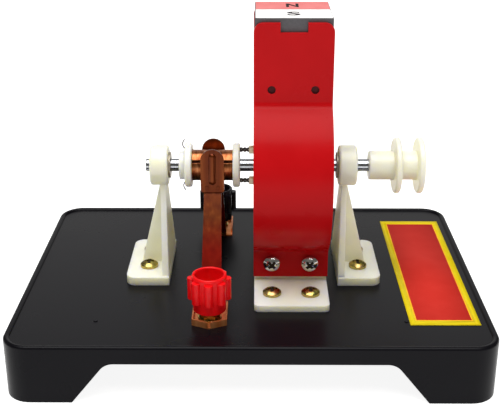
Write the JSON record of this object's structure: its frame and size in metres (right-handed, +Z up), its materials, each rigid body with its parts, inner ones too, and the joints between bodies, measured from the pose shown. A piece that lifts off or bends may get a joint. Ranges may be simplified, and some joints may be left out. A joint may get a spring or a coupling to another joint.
{
  "type": "demonstration electric motor",
  "caption": "Classroom demonstration motor: a wound armature on a shaft between bent pole plates under a block magnet, with strip brushes, screw terminals and a belt pulley.",
  "frame": {"origin": "on the floor, under the middle of the base", "axes": "+X along the shaft towards the pulley, +Y away from the front terminal, +Z up"},
  "size_m": [0.18, 0.13, 0.1297],
  "materials": {
    "black_abs": "moulded, semi-gloss",
    "label_yellow": "printed film",
    "label_red": "printed film",
    "cream_plastic": "moulded, satin",
    "bush_steel": "turned",
    "brass": "yellow passivated, polished",
    "red_paint": "gloss enamel on bent steel",
    "chrome_screw": "bright nickel plate",
    "ferrite": "ground ferrite",
    "mark_pink": "printed film",
    "mark_white": "printed film",
    "cap_red": "moulded, gloss",
    "cap_black": "moulded, gloss",
    "copper_strip": "rolled copper, darkened",
    "copper_bright": "worn copper",
    "shaft_steel": "ground",
    "insulator_brown": "moulded",
    "lead_dark": "varnished wire",
    "tinned_tag": "tinned",
    "core_steel": "stacked steel laminations",
    "enamelled_copper": "enamelled wire"
  },
  "bodies": {
    "stand": {"base": "black_abs", "label_border": "label_yellow", "label_panel": "label_red", "left_bracket": "cream_plastic", "right_bracket": "cream_plastic", "left_bush": "bush_steel", "right_bush": "bush_steel", "bracket_screws": "brass", "magnet_seat": "cream_plastic", "seat_screws": "brass", "front_pole_plate": "red_paint", "rear_pole_plate": "red_paint", "pole_plate_screws": "chrome_screw", "magnet_block": "ferrite", "north_mark": "mark_pink", "south_mark": "mark_white", "terminal_studs": "brass", "terminal_nuts": "brass", "terminal_washers": "brass", "front_brush_arm": "copper_strip", "rear_brush_arm": "copper_strip", "front_brush_leaf": "copper_strip", "rear_brush_leaf": "copper_strip", "brush_rivets": "copper_bright"},
    "rotor": {"shaft": "shaft_steel", "thrust_collar": "cream_plastic", "commutator_left_flange": "cream_plastic", "commutator_right_flange": "cream_plastic", "commutator_core": "insulator_brown", "commutator_segment_a": "copper_bright", "commutator_segment_b": "copper_bright", "segment_tails": "lead_dark", "coil_leads": "lead_dark", "lead_tags": "tinned_tag", "terminal_disc": "cream_plastic", "armature_core": "core_steel", "coil_former_a": "cream_plastic", "coil_former_b": "cream_plastic", "winding_core_a": "enamelled_copper", "winding_core_b": "enamelled_copper", "winding_a": "enamelled_copper", "winding_b": "enamelled_copper", "pulley": "cream_plastic"},
    "red_insert": {"red_cap_insert": "brass"},
    "red_knob": {"red_cap": "cap_red"},
    "black_insert": {"black_cap_insert": "brass"},
    "black_knob": {"black_cap": "cap_black"}
  },
  "joints": [
    {"name": "rotor_spin", "type": "hinge", "parent": "stand", "child": "rotor", "pos_m": [0, 0.0015, 0.0676], "axis": [1, 0, 0], "continuous": true},
    {"name": "red_cap_lift", "type": "slide", "parent": "stand", "child": "red_insert", "axis": [0, 0, 1], "range_m": [0, 0.0035]},
    {"name": "red_cap_turn", "type": "hinge", "parent": "red_insert", "child": "red_knob", "pos_m": [-0.0154, -0.042, 0.0336], "axis": [0, 0, 1], "range_deg": [0, 1801]},
    {"name": "black_cap_lift", "type": "slide", "parent": "stand", "child": "black_insert", "axis": [0, 0, 1], "range_m": [0, 0.0035]},
    {"name": "black_cap_turn", "type": "hinge", "parent": "black_insert", "child": "black_knob", "pos_m": [-0.0154, 0.045, 0.0336], "axis": [0, 0, 1], "range_deg": [0, 1801]}
  ],
  "couplings": [
    {"joint": "red_cap_turn", "follows": "red_cap_lift", "rad_per_m": 8976},
    {"joint": "black_cap_turn", "follows": "black_cap_lift", "rad_per_m": 8976}
  ]
}
